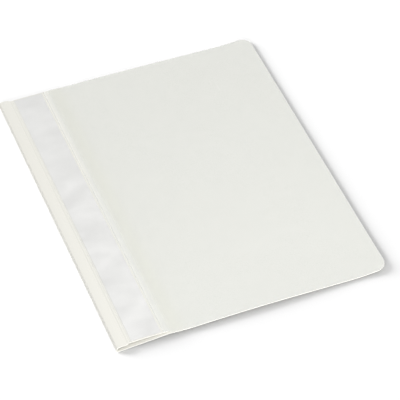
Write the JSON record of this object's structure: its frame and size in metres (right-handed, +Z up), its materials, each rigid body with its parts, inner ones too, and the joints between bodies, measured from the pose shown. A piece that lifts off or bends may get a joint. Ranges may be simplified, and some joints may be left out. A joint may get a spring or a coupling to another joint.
{
  "type": "presentation folder",
  "caption": "Closed A4 plastic presentation folder: folded white back sheet with a spine, label pocket along it, clear front cover on a crease hinge, and a prong paper fastener inside.",
  "frame": {"origin": "middle of the closed folder's footprint, on the surface that it lies on", "axes": "+X from the spine to the fore edge, +Y along the spine to the end that is far from the camera in the picture, +Z up out of the front cover"},
  "size_m": [0.2399, 0.31, 0.0061],
  "materials": {
    "white_film": "satin, fine grain",
    "clear_cover_film": "clear, slightly milky, glossy",
    "clear_window_film": "clear, glossy",
    "label_paper": "matt",
    "strap_film": "satin",
    "tinplate": "bright rolled",
    "bar_plastic": "moulded satin"
  },
  "bodies": {
    "back_sheet": {"back_cover": "white_film", "label_window": "clear_window_film", "label_insert": "label_paper", "filing_strap": "strap_film", "prong_strip": "tinplate", "cover_bar": "bar_plastic"},
    "cover": {"front_cover": "clear_cover_film"}
  },
  "joints": [
    {"name": "cover_hinge", "type": "hinge", "parent": "back_sheet", "child": "cover", "pos_m": [-0.075, 0, 0.0055], "axis": [0, -1, 0], "range_deg": [0, 180]}
  ]
}
